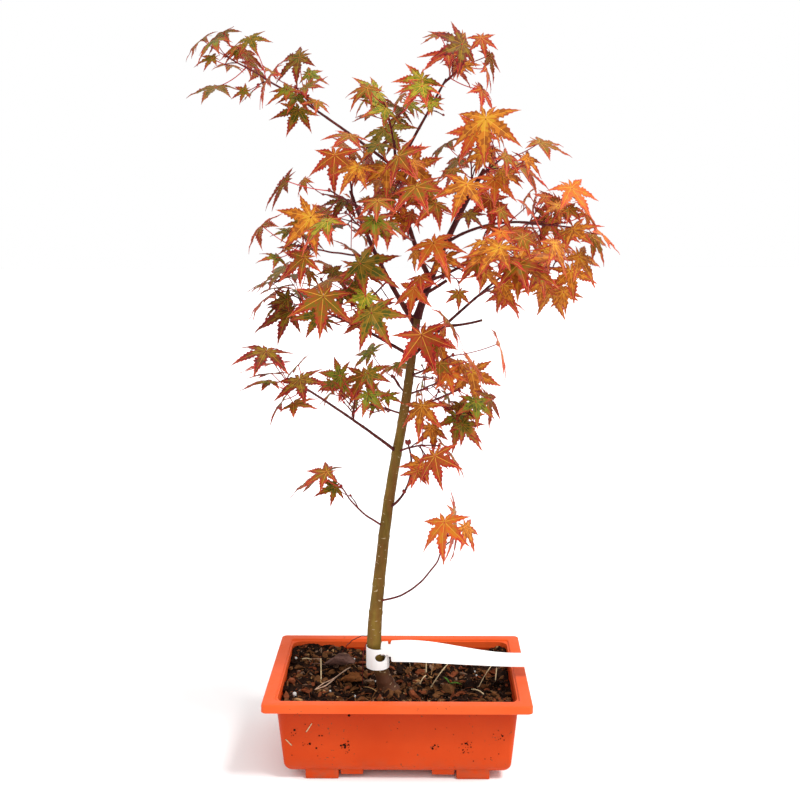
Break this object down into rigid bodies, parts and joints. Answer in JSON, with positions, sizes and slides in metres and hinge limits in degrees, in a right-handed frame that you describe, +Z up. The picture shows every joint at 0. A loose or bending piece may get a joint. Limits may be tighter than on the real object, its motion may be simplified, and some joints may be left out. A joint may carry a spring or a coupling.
{
  "type": "japanese maple bonsai",
  "caption": "Young potted maple trained as a bonsai: slim leaning trunk, thin boughs and open masses of lobed autumn leaves, in a shallow plastic tray with a blank label.",
  "frame": {"origin": "middle of the whole plant's box in plan, on the plane that the pot's four feet stand on", "axes": "+Z up, -Y towards the side that the plant is looked at from, +X to the right as seen from there"},
  "size_m": [0.3419, 0.242, 0.5606],
  "materials": {
    "pot_plastic": "satin orange plastic with specks of dried soil",
    "soil": "matte damp potting soil with bark chips and grit",
    "label_plastic": "satin white plastic strip, blank",
    "trunk_bark": "smooth matte olive-brown bark with rings and pores",
    "bough_bark": "smooth dark maroon bark",
    "leaf_amber": "matte amber leaves with red edges and yellow veins",
    "leaf_red": "matte red leaves with yellow veins",
    "leaf_olive": "matte olive leaves with red edges",
    "leaf_green": "matte yellow-green leaves with pink edges"
  },
  "bodies": {
    "root": {"pot": "pot_plastic", "soil": "soil", "plant_label": "label_plastic", "trunk": "trunk_bark", "right_stem": "bough_bark", "leader": "bough_bark", "leader_right": "bough_bark", "outreach": "bough_bark", "left_bough": "bough_bark", "right_side": "bough_bark", "right_lower": "bough_bark", "left_upper": "bough_bark", "left_lower": "bough_bark", "right_upper": "bough_bark", "crossing_stub": "bough_bark", "pruned_stub": "bough_bark", "bare_twig": "bough_bark", "top": "leaf_red", "below_top": "leaf_green", "crown_left": "leaf_green", "crown_front": "leaf_amber", "crown_inner": "leaf_olive", "outreach_tip": "leaf_olive", "outreach_mid": "leaf_olive", "left_high": "leaf_red", "left_side": "leaf_red", "green_inner": "leaf_green", "left_reach": "leaf_olive", "left_mid_tip": "leaf_olive", "left_mid_back": "leaf_olive", "left_mid_near": "leaf_olive", "left_low_tip": "leaf_olive", "left_low_inner": "leaf_green", "right_high": "leaf_amber", "right_high_back": "leaf_olive", "inner_right": "leaf_red", "inner_low": "leaf_amber", "right_inner": "leaf_red", "right_outer": "leaf_amber", "right_far": "leaf_amber", "right_front": "leaf_amber", "right_low_tip": "leaf_amber", "right_low_inner": "leaf_amber", "right_low_back": "leaf_red", "centre_high": "leaf_red", "centre_green": "leaf_green", "centre_front": "leaf_amber", "centre_right": "leaf_amber", "centre_back": "leaf_amber", "low_right": "leaf_olive", "low_right_front": "leaf_amber", "low_left": "leaf_olive", "low_left_back": "leaf_green", "low_single_left": "leaf_olive", "low_single_right": "leaf_amber", "back_high": "leaf_olive", "back_left": "leaf_olive", "back_right": "leaf_red", "back_low": "leaf_olive"}
  },
  "joints": []
}
